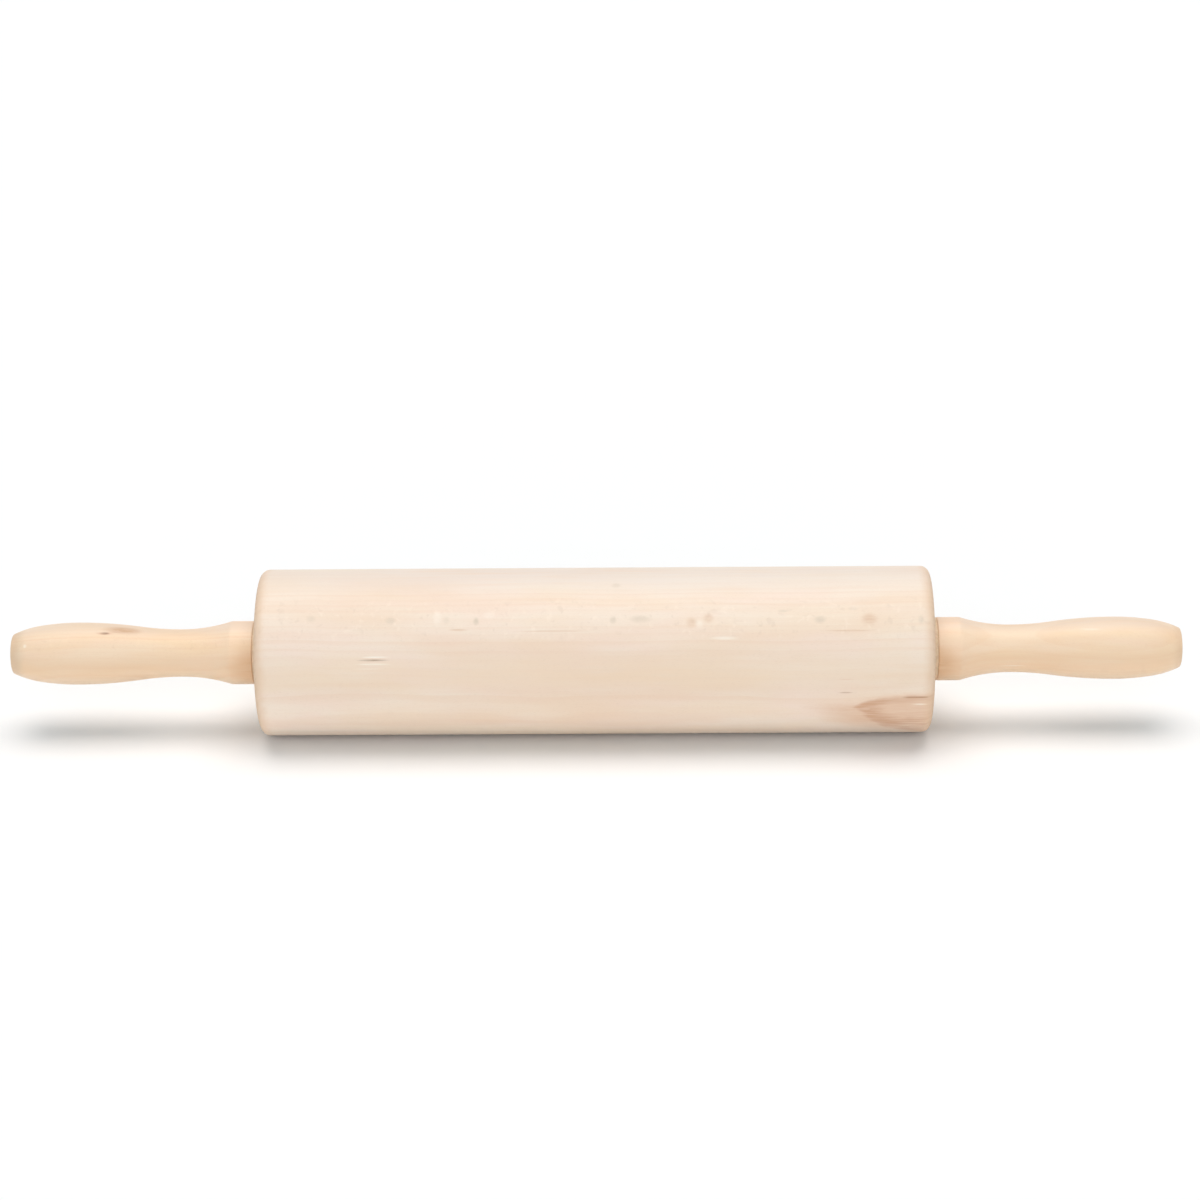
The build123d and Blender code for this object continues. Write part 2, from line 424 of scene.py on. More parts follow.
# %% Group: year lines
def make_year_lines():
    """The dark end of each year, and a tone for the whole year."""
    group, given, result = start_group(
        "year_lines",
        [TRUNK_PLACE, ("Year Width", "Float", 3.0)],
        [("Late Wood", "Float"), ("Year Tone", "Float")],
    )
    out = split(group, given["Trunk Place"])["Y"]
    ragged = cloud(group, stretch(group, given["Trunk Place"], (2.5, 9), 45), 1.0, 3.0, 0.55)
    years = reckon(group, "DIVIDE", out, given["Year Width"])
    uneven = cloud(group, stretch(group, given["Trunk Place"], (11, 4000), 4000), 1.0, 2.0)
    years = plus(group, years, times(group, uneven, 2.4))
    years = plus(group, years, times(group, ragged, 0.22))
    part = reckon(group, "FRACT", years)
    rise = ease(group, part, 0.35, 0.93)
    fall = ease(group, part, 0.93, 1.0, 1.0, 0.0)
    late = times(group, rise, fall)
    year = reckon(group, "FLOOR", years)
    tone = put(group, "TexWhiteNoise", {"W": year}, noise_dimensions="1D").outputs["Value"]
    return give(group, result, {"Late Wood": late, "Year Tone": tone})


year_lines = make_year_lines()

# %% [markdown]
# Along the grain run fibres, finer than can be told apart from arm's length, and open pores, which
# show as short dark dashes on the side of the piece and as dots on its ends. Both are noise that is
# stretched in the grain. The rays run the other way, out from the heart: where the surface cuts
# along them, they show as a row of flecks, and elsewhere only as short ticks. Because the ray group
# is solid too, that row comes out by itself where the surface faces the right way. On a sawn end the
# same rays show as fine pale spokes.

# %% Group: fibres and pores
def make_fibres():
    """Fine fibre tone, long soft bands and the pores' dashes."""
    group, given, result = start_group(
        "fibres",
        [TRUNK_PLACE, ("Fibre Width", "Float", 0.28), ("Fibre Length", "Float", 14.0)],
        [("Fibre", "Float"), ("Band", "Float"), ("Pore", "Float")],
    )
    width = given["Fibre Width"]
    fine = squeeze(group, given["Trunk Place"], given["Fibre Length"], width, width)
    fibre = cloud(group, fine, 1.0, 3.0, 0.6)
    band = cloud(group, stretch(group, given["Trunk Place"], (3.2, 4.5), 70), 1.0, 3.0, 0.6)
    short = reckon_vector(group, "MULTIPLY", fine, (5.0, 0.75, 0.75))
    cells = put(
        group, "TexVoronoi", {"Vector": short, "Scale": 1.0},
        voronoi_dimensions="3D", feature="F1",
    )
    pore = ease(group, cells.outputs["Distance"], 0.12, 0.26, 1.0, 0.0)
    return give(group, result, {"Fibre": fibre, "Band": band, "Pore": pore})


fibres = make_fibres()

# %% Group: rays
def make_rays():
    """The rays' flecks: ribbons that run out from the heart."""
    group, given, result = start_group(
        "rays",
        [
            TRUNK_PLACE, NORMAL, ("Outwards", "Vector", (0, 0, 1)),
            ("Ray Height", "Float", 3.4), ("Ray Reach", "Float", 3.6), ("Ray Thickness", "Float", 1.6),
        ],
        [("Dark Fleck", "Float"), ("Light Fleck", "Float"), ("End Ray", "Float")],
    )
    ribbons = squeeze(
        group, given["Trunk Place"],
        given["Ray Height"], given["Ray Reach"], given["Ray Thickness"],
    )
    one = cloud(group, ribbons, 1.0, 1.0, 0.5, 0.4)
    elsewhere = reckon_vector(group, "ADD", ribbons, (31.7, 5.3, 12.9))
    other = cloud(group, elsewhere, 1.0, 1.0, 0.5, 0.4)
    facing = reckon_vector(group, "DOT_PRODUCT", given["Outwards"], given["Normal"])
    shown = ease(group, reckon(group, "ABSOLUTE", facing), 0.10, 0.34, 1.0, 0.10)
    dark = times(group, shown, ease(group, one, 0.60, 0.76))
    light = times(group, shown, ease(group, other, 0.58, 0.76))
    spokes = cloud(group, stretch(group, given["Trunk Place"], (16, 0.45), 500), 1.0, 2.0)
    spokes = ease(group, spokes, 0.50, 0.72)
    return give(group, result, {"Dark Fleck": dark, "Light Fleck": light, "End Ray": spokes})


rays = make_rays()

# %% [markdown]
# The tone of pale wood wanders: some stretches are pinkish, others straw yellow, with soft borders
# drawn out in the grain. A second, slower wander makes whole areas a little lighter or darker.

# %% Group: wandering tone
def make_wandering_tone():
    """Soft areas of warmer and paler wood."""
    group, given, result = start_group(
        "wandering_tone",
        [TRUNK_PLACE, ("Area Length", "Float", 60.0), ("Area Width", "Float", 14.0)],
        [("Pink", "Float"), ("Straw", "Float"), ("Shade", "Float")],
    )
    width = given["Area Width"]
    area = squeeze(group, given["Trunk Place"], given["Area Length"], width, width)
    pink = cloud(group, area, 1.0, 3.0, 0.55)
    straw = cloud(group, reckon_vector(group, "ADD", area, (17.0, 3.0, 8.0)), 1.0, 3.0, 0.55)
    shade = cloud(group, reckon_vector(group, "ADD", area, (5.0, 23.0, 41.0)), 0.6, 2.0, 0.5)
    pink, straw = ease(group, pink, 0.42, 0.66), ease(group, straw, 0.42, 0.66)
    return give(group, result, {"Pink": pink, "Straw": straw, "Shade": shade})


wandering_tone = make_wandering_tone()

# %% [markdown]
# Knots, streaks and small scars sit at known places. Each is an egg-shaped patch with a ragged
# edge, drawn out into points along the grain. One group makes them all, so that a scar on the
# barrel and a knot on a handle differ only in their values. Only the barrel's brown figure has a
# shape too odd for it, and is worked out on its own.

# %% Group: a mark in the wood
STREAK_LENGTH = 12.0


def make_wood_mark():
    """A ragged patch round a point on the piece."""
    group, given, result = start_group(
        "wood_mark",
        [
            PIECE_PLACE, ("Middle", "Vector", (0, 0, 0)), ("Reach", "Vector", (10, 2, 2)),
            ("Ragged", "Float", 0.5), ("Grain Width", "Float", 1.2),
        ],
        [("Mark", "Float"), ("Streak", "Float")],
    )
    away = reckon_vector(group, "SUBTRACT", given["Piece Place"], given["Middle"])
    away = reckon_vector(group, "DIVIDE", away, given["Reach"])
    width = given["Grain Width"]
    grain = squeeze(group, given["Piece Place"], times(group, width, STREAK_LENGTH), width, width)
    streak = cloud(group, grain, 1.0, 3.0, 0.6, 0.6)
    wild = times(group, minus(group, streak, 0.5), given["Ragged"])
    distance = plus(group, reckon_vector(group, "LENGTH", away), times(group, wild, 2.0))
    mark = ease(group, distance, 0.25, 1.0, 1.0, 0.0)
    return give(group, result, {"Mark": mark, "Streak": streak})


wood_mark = make_wood_mark()

# %% [markdown]
# The last shared groups belong to the maker's tools. A gouge and sandpaper on a turning piece leave
# very fine rings round it, on wood and on metal alike. The ends of a wooden piece drink up more
# light and more dirt than its sides, because there the pores are cut open. And a rounded rim gets a
# browner colour painted on: painted shade, where the rim turns away from the light.

# %% Group: turning rings
RING_DRIFT = 0.03


def make_turning_rings():
    """Fine rings round the axle, as a height."""
    group, given, result = start_group(
        "turning_rings",
        [PIECE_PLACE, ("Ring Pitch", "Float", 0.5)],
        [("Height", "Float")],
    )
    parts = split(group, given["Piece Place"])
    along = reckon(group, "DIVIDE", parts["X"], given["Ring Pitch"])
    drifts = [times(group, parts[axis], RING_DRIFT) for axis in "YZ"]
    height = cloud(group, join(group, along, *drifts), 1.0, 3.0, 0.6)
    return give(group, result, {"Height": height})


turning_rings = make_turning_rings()

# %% Group: end grain and rims
RIM_WAVER = 3.0


def make_end_and_rim():
    """Where the surface faces along the axle, and where a rim turns over."""
    group, given, result = start_group(
        "end_and_rim",
        [NORMAL, PIECE_PLACE, ("Rim From", "Float", 148.0), ("Rim To", "Float", 152.0)],
        [("End Grain", "Float"), ("Rim", "Float")],
    )
    facing = reckon(group, "ABSOLUTE", split(group, given["Normal"])["X"])
    along = reckon(group, "ABSOLUTE", split(group, given["Piece Place"])["X"])
    uneven = minus(group, cloud(group, given["Piece Place"], 0.2, 3.0), 0.5)
    along = plus(group, along, times(group, uneven, RIM_WAVER))
    # Painted shade: the mask for the browner colour laid on a rim where it turns away from the light.
    rim = ease(group, along, given["Rim From"], given["Rim To"])
    return give(group, result, {"End Grain": ease(group, facing, 0.55, 0.97), "Rim": rim})


end_and_rim = make_end_and_rim()
print("groups:", [group.name for group in bpy.data.node_groups])

# %% [markdown]
# ## Wood
#
# One finish lays the wood groups over each other for any piece of the pin. What differs from
# piece to piece is where in the trunk it was cut, the colours, the width of the years and the
# marks that it carries. The surface is raw and sanded, with no varnish, so it is matt, and its
# fibres, pores and turning rings are felt more than seen. The strengths below, from 0 to 1, say
# how clearly each layer shows over those under it.

# %% Sizes and strengths of the wood's layers
TRUNK_SWAY = 1.5
FIBRE_WIDTH, FIBRE_LENGTH = 0.28, 14.0
AREA_LENGTH, AREA_WIDTH = 60.0, 14.0
RING_PITCH = 0.45
PINK_AREAS, STRAW_AREAS, DEEP_AREAS, DEEP_BANDS = 0.6, 0.6, 0.45, 0.22
FAINT_YEAR, CLEAR_YEAR = 0.084, 0.28
FIBRE_TONE, PORE_TONE = 0.16, 0.15
DARK_FLECK, LIGHT_FLECK = 0.35, 0.7
# The last strength is painted shade on the rounded rims.
END_TONE, END_YEARS, END_RAYS, RIM_SHADE = 0.35, 0.30, 0.35, 0.55
DARK_SHARE, LIGHT_SHARE, END_SHARE = 0.62, 1.10, 0.80
FIBRE_ROUGHNESS, END_ROUGHNESS = 0.12, 0.12
FIBRE_HEIGHT, RING_HEIGHT, PORE_DEPTH, YEAR_DEPTH = 0.5, 0.6, 0.5, 0.15
GRAIN_BUMP, GRAIN_DEPTH = 0.35, 0.12 * MM
# Painted shade on the rounded rims.
RIM_SHADE_COLOUR = screen_colour(223, 188, 154)


# %% The layers of the wood
def wood_layers(tree, heart, cut_from, year_width, rim, across):
    """Place the shared groups in a wood finish and return their outputs."""
    given = put(tree, "TexCoord").outputs
    place = given["Object"]
    if across:
        quarter_turn = (0, math.radians(90), 0)
        place = put(tree, "Mapping", {"Vector": place, "Rotation": quarter_turn}).outputs[0]
    trunk = use(tree, trunk_place, {
        "Place": place, "Heart": heart, "Cut From": cut_from, "Sway": TRUNK_SWAY,
    })
    spot, piece = trunk["Trunk Place"], trunk["Piece Place"]
    ring = use(tree, year_lines, {"Trunk Place": spot, "Year Width": year_width})
    fibre = use(tree, fibres, {
        "Trunk Place": spot, "Fibre Width": FIBRE_WIDTH, "Fibre Length": FIBRE_LENGTH,
    })
    ray = use(tree, rays, {
        "Trunk Place": spot, "Outwards": trunk["Outwards"], "Normal": given["Normal"],
    })
    tone = use(tree, wandering_tone, {
        "Trunk Place": spot, "Area Length": AREA_LENGTH, "Area Width": AREA_WIDTH,
    })
    tool = use(tree, turning_rings, {"Piece Place": piece, "Ring Pitch": RING_PITCH})
    end = use(tree, end_and_rim, {
        "Normal": given["Normal"], "Piece Place": piece, "Rim From": rim[0], "Rim To": rim[1],
    })
    return piece, ring, fibre, ray, tone, tool, end


def add_marks(tree, piece, colour, marks):
    """Lay marks over a colour. Also return how far they reach, or None without marks."""
    dent = None
    for middle, reach, ragged, grain_width, mark_colour, strength in marks:
        mark = use(tree, wood_mark, {
            "Piece Place": piece, "Middle": middle, "Reach": reach,
            "Ragged": ragged, "Grain Width": grain_width,
        })
        share = times(tree, mark["Mark"], ease(tree, mark["Streak"], 0.25, 0.65, 0.45, 1.0))
        colour = lay(tree, share, strength, colour, mark_colour)
        dent = share if dent is None else reckon(tree, "MAXIMUM", dent, share)
    return colour, dent


# %% The wood finish
def make_wood(
    name, heart, cut_from, pale, deep, pink, straw, year_width, rim, flecks,
    marks=(), figure=None, matt=0.50, across=False,
):
    """A solid wood finish. Marks are (middle, reach, ragged, grain width, colour, strength)."""
    paint, tree = start_paint(name)
    layers = wood_layers(tree, heart, cut_from, year_width, rim, across)
    piece, ring, fibre, ray, tone, tool, end = layers

    colour = lay(tree, tone["Pink"], PINK_AREAS, pale, pink)
    colour = lay(tree, tone["Straw"], STRAW_AREAS, colour, straw)
    colour = tint(tree, ease(tree, tone["Shade"], 0.40, 0.75, 0.0, DEEP_AREAS), colour, deep)
    colour = tint(tree, ease(tree, fibre["Band"], 0.45, 0.75, 0.0, DEEP_BANDS), colour, deep)
    clear = ease(tree, ring["Year Tone"], 0.0, 1.0, FAINT_YEAR, CLEAR_YEAR)
    colour = lay(tree, ring["Late Wood"], clear, colour, deep)
    colour = tint(tree, ease(tree, fibre["Fibre"], 0.50, 0.78, 0.0, FIBRE_TONE), colour, deep)
    dark, light = dimmed(deep, DARK_SHARE), dimmed(pale, LIGHT_SHARE)
    colour = lay(tree, ray["Dark Fleck"], flecks * DARK_FLECK, colour, dark)
    colour = lay(tree, ray["Light Fleck"], flecks * LIGHT_FLECK, colour, light)
    colour = lay(tree, fibre["Pore"], PORE_TONE, colour, dark)
    if figure:
        colour = figure(tree, piece, colour)
    colour, dent = add_marks(tree, piece, colour, marks)
    colour = lay(tree, end["End Grain"], END_TONE, colour, dimmed(deep, END_SHARE))
    end_years = times(tree, end["End Grain"], ring["Late Wood"])
    colour = lay(tree, end_years, END_YEARS, colour, dark)
    end_rays = times(tree, end["End Grain"], ray["End Ray"])
    colour = lay(tree, end_rays, END_RAYS, colour, light)
    # Painted shade on the rounded rims.
    colour = lay(tree, end["Rim"], RIM_SHADE, colour, RIM_SHADE_COLOUR)

    rough = ease(tree, fibre["Fibre"], 0.3, 0.7, matt, matt + FIBRE_ROUGHNESS)
    rough = plus(tree, rough, times(tree, end["End Grain"], END_ROUGHNESS))
    height = times(tree, fibre["Fibre"], FIBRE_HEIGHT)
    height = plus(tree, height, times(tree, tool["Height"], RING_HEIGHT))
    height = minus(tree, height, times(tree, fibre["Pore"], PORE_DEPTH))
    height = minus(tree, height, times(tree, ring["Late Wood"], YEAR_DEPTH))
    if dent is not None:
        height = minus(tree, height, dent)
    bump = put(tree, "Bump", {"Strength": GRAIN_BUMP, "Distance": GRAIN_DEPTH, "Height": height})
    wood = {"Base Color": colour, "Roughness": rough, "Normal": bump.outputs[0]}
    wood = put(tree, "BsdfPrincipled", wood)
    put(tree, "OutputMaterial", {"Surface": wood.outputs[0]})
    return paint


# %% [markdown]
# The barrel was cut with the heart of the trunk below and in front of it. That puts a row of ray
# flecks along its upper front, and leaves room low on the right for a brown figure where a knot or
# the heart begins. The figure is worked out on the barrel's skin laid flat: a dark line along its
# top, a branch that bends away under that line, streaked brown wood behind it and a tan halo.

# %% The brown figure
BROWN = screen_colour(209, 166, 135)
RUST = screen_colour(188, 146, 116)
TAN = screen_colour(225, 190, 162)
BARREL_RADIUS = 38.0
FIGURE_START, FIGURE_TOP = 117.0, 8.3
BRANCH_START, BRANCH_TOP = 118.0, 13.0
THIN_LINE = 8.5


def brown_figure(tree, place, colour):
    """Brown wood round a hidden knot, low at the barrel's right end."""
    parts = split(tree, place)
    along = parts["X"]
    drop = minus(tree, AXLE / MM, parts["Z"])
    forwards = times(tree, parts["Y"], -1.0)
    below = times(tree, reckon(tree, "ARCTAN2", drop, forwards), BARREL_RADIUS)
    skin = join(tree, along, below)
    coarse = reckon_vector(tree, "MULTIPLY", skin, (0.09, 0.22, 1.0))
    rag = minus(tree, cloud(tree, coarse, 1.0, 4.0, 0.6, 0.5), 0.5)
    fine = reckon_vector(tree, "MULTIPLY", skin, (0.07, 1.1, 1.0))
    streak = cloud(tree, fine, 1.0, 4.0, 0.65, 0.4)

    from_start = reckon(tree, "MAXIMUM", minus(tree, along, FIGURE_START), 0.0)
    droop = reckon(tree, "EXPONENT", times(tree, from_start, -0.1))
    top = plus(tree, times(tree, droop, 5.0), FIGURE_TOP)
    under_top = plus(tree, minus(tree, below, top), times(tree, rag, 2.5))
    step_down = reckon(tree, "MAXIMUM", minus(tree, below, BRANCH_TOP), 0.0)
    curve = times(tree, times(tree, step_down, step_down), 0.028)
    bend = plus(tree, times(tree, step_down, 0.35), curve)
    past_bend = minus(tree, minus(tree, along, BRANCH_START), bend)
    past_bend = plus(tree, past_bend, times(tree, rag, 12.0))

    halo = times(tree, ease(tree, past_bend, -28.0, -3.0), ease(tree, under_top, -3.5, 1.5))
    halo = times(tree, halo, ease(tree, below, 22.0, 34.0, 1.0, 0.35))
    colour = lay(tree, halo, ease(tree, streak, 0.3, 0.65, 0.55, 0.9), colour, TAN)
    branch = ease(tree, past_bend, 4.0, 14.0, 1.0, 0.0)
    branch = times(tree, ease(tree, past_bend, -2.5, 2.0), branch)
    branch = times(tree, branch, ease(tree, under_top, -2.0, 0.6))
    branch = times(tree, branch, ease(tree, below, 20.0, 33.0, 1.0, 0.5))
    colour = lay(tree, branch, ease(tree, streak, 0.32, 0.6, 0.45, 1.0), colour, BROWN)
    low = plus(tree, below, times(tree, rag, 9.0))
    patch = times(tree, ease(tree, past_bend, 0.0, 7.0), ease(tree, low, 17.0, 24.0))
    colour = lay(tree, patch, ease(tree, streak, 0.35, 0.62, 0.10, 0.60), colour, BROWN)

    off_top = reckon(tree, "ABSOLUTE", minus(tree, under_top, 1.0))
    run = times(tree, ease(tree, along, 117.0, 122.0), ease(tree, along, 126.0, 138.0, 0.85, 0.40))
    upper = times(tree, ease(tree, off_top, 0.4, 2.6, 1.0, 0.0), run)
    colour = lay(tree, upper, ease(tree, streak, 0.3, 0.6, 0.5, 1.0), colour, BROWN)
    off_thin = reckon(tree, "ABSOLUTE", minus(tree, below, THIN_LINE))
    run = times(tree, ease(tree, along, 136.5, 141.0), ease(tree, along, 148.0, 150.0, 1.0, 0.3))
    thin = times(tree, ease(tree, off_thin, 0.15, 0.75, 1.0, 0.0), run)
    return lay(tree, thin, 0.9, colour, RUST)


# %% [markdown]
# The barrel's other marks come from the picture: a short dark scar left of the middle with pale
# lines above and below it, a few thin streaks, and the larger flecks of the row. Two marks are as
# long as the barrel itself: a straw yellow band along its front, and a paler, greyer crown, which
# is a painted sheen where the overhead light falls on the top.

# %% The barrel's marks
SCAR = screen_colour(150, 122, 100)
PALE_LINE = screen_colour(255, 247, 234)
STRAW_BAND = screen_colour(241, 214, 184)
# Painted sheen: a paler, greyer colour laid on the barrel's crown where the overhead light falls.
CROWN_SHEEN = screen_colour(234, 224, 217)
GREY_FLECK = screen_colour(212, 196, 176)
RUST_FLECK = screen_colour(218, 184, 155)
WHOLE_LENGTH = 300


def on_barrel(place, degrees):
    """A point on the barrel: millimetres from its middle, degrees up from its front."""
    angle = math.radians(degrees)
    forwards, up = BARREL_RADIUS * math.cos(angle), BARREL_RADIUS * math.sin(angle)
    return (place, -forwards, AXLE / MM + up)


barrel_marks = [
    (on_barrel(-98.5, 16.3), (8.5, 1.6, 0.60), 0.10, 0.5, SCAR, 0.85),
    (on_barrel(-97.5, 18.4), (8.0, 1.6, 0.50), 0.15, 0.5, PALE_LINE, 0.85),
    (on_barrel(-98.5, 13.6), (10.0, 1.5, 0.55), 0.10, 0.5, PALE_LINE, 0.85),
    (on_barrel(-101.0, 10.4), (9.0, 1.5, 0.45), 0.15, 0.5, PALE_LINE, 0.50),
    (on_barrel(112.4, -8.7), (4.2, 1.0, 0.55), 0.20, 0.5, RUST, 0.60),
    (on_barrel(112.5, 1.2), (5.5, 1.0, 0.40), 0.30, 0.5, TAN, 0.55),
    (on_barrel(146.0, -18.8), (5.0, 0.9, 0.60), 0.20, 0.5, PALE_LINE, 0.55),
    (on_barrel(0.0, 6.0), (WHOLE_LENGTH, 9.0, 11.0), 0.25, 3.0, STRAW_BAND, 0.45),
    # Painted sheen along the barrel's crown.
    (on_barrel(0.0, 92.0), (WHOLE_LENGTH, 26.0, 12.0), 0.25, 3.0, CROWN_SHEEN, 0.60),
]

# %% The barrel's flecks: place, degrees, length, width, colour and strength
FLECK_GROWTH, FLECK_STRENGTH, FLECK_RAGGED, FLECK_GRAIN = 1.2, 0.8, 0.35, 0.8
for place, degrees, length, width, fleck, strength in (
    (-91.0, 43.5, 2.6, 1.9, GREY_FLECK, 0.75), (-52.6, 42.5, 1.5, 2.2, GREY_FLECK, 1.00),
    (-60.5, 36.6, 4.5, 0.6, RUST_FLECK, 0.90), (-126.5, 45.0, 2.4, 1.8, GREY_FLECK, 0.45),
    (-66.0, 43.5, 1.8, 2.2, GREY_FLECK, 0.40), (-19.0, 35.4, 17.0, 0.5, RUST_FLECK, 0.60),
    (8.6, 43.0, 1.7, 1.9, GREY_FLECK, 0.85), (20.6, 43.6, 5.4, 2.0, GREY_FLECK, 0.65),
    (43.6, 41.0, 2.6, 3.0, RUST_FLECK, 0.60), (51.2, 44.0, 2.6, 2.6, RUST_FLECK, 0.70),
    (84.6, 49.0, 3.0, 0.8, GREY_FLECK, 0.60), (101.0, 42.5, 3.0, 2.1, GREY_FLECK, 0.80),
    (123.0, 42.8, 4.0, 3.2, RUST_FLECK, 0.90), (114.0, 34.6, 12.0, 0.5, RUST_FLECK, 0.80),
    (58.0, 30.0, 7.0, 0.9, PALE_LINE, 0.60), (10.0, 72.5, 2.4, 1.9, GREY_FLECK, 0.55),
    (116.0, 50.5, 2.6, 1.2, GREY_FLECK, 0.45), (146.0, 42.0, 1.6, 2.4, GREY_FLECK, 0.60),
    (47.2, 40.0, 2.0, 2.2, PALE_LINE, 0.45), (-70.0, 45.0, 2.2, 4.0, PALE_LINE, 0.35),
    (-47.0, 47.0, 3.0, 2.0, PALE_LINE, 0.35),
):
    reach = (length * FLECK_GROWTH, width * FLECK_GROWTH, width * FLECK_GROWTH)
    middle = on_barrel(place, degrees)
    barrel_marks.append((middle, reach, FLECK_RAGGED, FLECK_GRAIN, fleck, strength * FLECK_STRENGTH))
print("barrel marks:", len(barrel_marks))

# %% The barrel's wood
barrel_wood = make_wood(
    "barrel_wood", (0, -135.0, -47.0), (40, 0, 0),
    pale=screen_colour(241, 225, 208), deep=screen_colour(233, 202, 175),
    pink=screen_colour(242, 219, 203), straw=screen_colour(240, 220, 196), flecks=0.4,
    # The rim span is where painted shade darkens the barrel's rounded ends.
    year_width=3.4, rim=(146.0, 151.5), marks=barrel_marks, figure=brown_figure,
)
print("wood finish:", barrel_wood.name)

# %% [markdown]
# The handles are a warmer, yellower wood than the barrel. Each was cut from its own stick, so each
# has its own place in the trunk. Both are tan along the front. Their paler, pinkish crown is a
# painted sheen where the overhead light falls on the top, and the darker tan on the front of the
# collar is painted shade beside the barrel's end, with painted warm light thrown back from it. The
# left one has a greyer tip, painted shade where the rounded end turns away from the light, with one
# pale dot, and carries a small pip knot with a tan tail. The plugs in the tips have their grain
# across.

# %% The handles' marks
PIP = screen_colour(104, 74, 52)
# Painted shade and warm bounce: a darker tan on the collar's front beside the barrel's end.
COLLAR_SHADE = screen_colour(225, 183, 141)
TAN_TAIL = screen_colour(206, 166, 130)
HANDLE_TAN = screen_colour(239, 202, 165)
# Painted sheen: a paler, pinkish colour on the handles' crown.
HANDLE_CROWN_SHEEN = screen_colour(230, 213, 198)
# Painted shade: a greyer colour on the left handle's rounded tip.
TIP_SHADE = screen_colour(196, 176, 148)
left_marks = [
    ((-205.0, -13.5, 35.5), (WHOLE_LENGTH, 8.0, 9.5), 0.25, 3.0, HANDLE_TAN, 0.55),
    # Painted sheen on the crown.
    ((-205.0, -2.0, 52.5), (WHOLE_LENGTH, 9.0, 6.5), 0.25, 3.0, HANDLE_CROWN_SHEEN, 0.55),
    ((-214.0, -3.4, 51.0), (13.0, 3.8, 2.8), 0.30, 0.7, TAN_TAIL, 1.0),
    ((-216.5, -5.2, 50.8), (7.0, 1.0, 0.9), 0.30, 0.5, BROWN, 0.75),
    ((-223.0, -6.3, 50.4), (5.2, 1.3, 1.0), 0.30, 0.4, BROWN, 0.95),
    ((-223.0, -6.2, 50.5), (2.7, 1.0, 0.8), 0.15, 0.4, PIP, 1.0),
    ((-256.6, -12.1, 44.2), (5.0, 1.2, 0.5), 0.30, 0.5, BROWN, 0.35),
    # Painted shade on the rounded tip.
    ((-267.0, 0.0, 38.0), (9.0, 30.0, 30.0), 0.30, 2.0, TIP_SHADE, 0.60),
    ((-259.6, -9.2, 45.6), (1.3, 1.3, 1.3), 0.10, 0.4, PALE_LINE, 0.55),
    # Painted shade and warm bounce on the collar beside the barrel.
    ((-154.0, -15.0, 36.0), (16.0, 13.0, 15.0), 0.35, 2.0, COLLAR_SHADE, 0.90),
]
right_marks = [
    ((205.0, -13.5, 35.5), (WHOLE_LENGTH, 8.0, 9.5), 0.25, 3.0, HANDLE_TAN, 0.65),
    # Painted sheen on the crown.
    ((205.0, -2.0, 52.5), (WHOLE_LENGTH, 9.0, 6.5), 0.25, 3.0, HANDLE_CROWN_SHEEN, 0.55),
    ((223.0, -7.5, 50.1), (9.0, 1.6, 0.7), 0.30, 0.5, PALE_LINE, 0.40),
    # Painted shade and warm bounce on the collar beside the barrel.
    ((154.0, -15.0, 35.0), (16.0, 13.0, 14.0), 0.35, 2.0, COLLAR_SHADE, 0.90),
    ((190.0, -9.6, 33.5), (8.0, 1.2, 0.5), 0.30, 0.5, PALE_LINE, 0.40),
]

# %% The handles' wood
# Where painted shade darkens the handles' rounded tips.
HANDLE_RIM = (261.5, 266.0)
NO_RIM = (300, 301)
handle_colours = dict(
    pale=screen_colour(240, 215, 186), deep=screen_colour(230, 187, 146),
    pink=screen_colour(241, 210, 182), straw=screen_colour(239, 209, 170), matt=0.36,
)
left_wood = make_wood(
    "left_handle_wood", (0, 55.0, 120.0), (400, 20, 0),
    year_width=2.6, rim=HANDLE_RIM, flecks=0.25, marks=left_marks, **handle_colours,
)
right_wood = make_wood(
    "right_handle_wood", (0, -60.0, 118.0), (-900, 45, 0),
    year_width=2.9, rim=HANDLE_RIM, flecks=0.25, marks=right_marks, **handle_colours,
)
plug_wood = make_wood(
    "plug_wood", (0, 90.0, 60.0), (70, 0, 300),
    year_width=2.2, rim=NO_RIM, flecks=0.3, across=True, **handle_colours,
)
print("wood finishes:", left_wood.name, right_wood.name, plug_wood.name)

# %% [markdown]
# ## The turned wood
#
# Barrel and handles are turned pieces, so one lathe function makes them all: it takes the outline
# of the piece and spins it round the axle. The outline could be typed in again, but then it might
# drift from the measured model, so it is read from that model and only made finer, with smooth
# curves between its points. A turned and sanded surface is never quite true: it is a few hundredths
# of a millimetre lower here and there, and sanding bites deeper beside a knot.

# %% Read an outline from the measured model
def measured_outline(node, least_radius):
    """Outer outline of a node as (place, radius) pairs in order of place, in metres."""
    widest = {}
    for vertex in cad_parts[node].data.vertices:
        radius = math.hypot(vertex.co.y, vertex.co.z - AXLE)
        if radius > least_radius:
            place = round(vertex.co.x, 6)
            widest[place] = max(widest.get(place, 0), radius)
    return sorted(widest.items())


LONG_RUN = 6


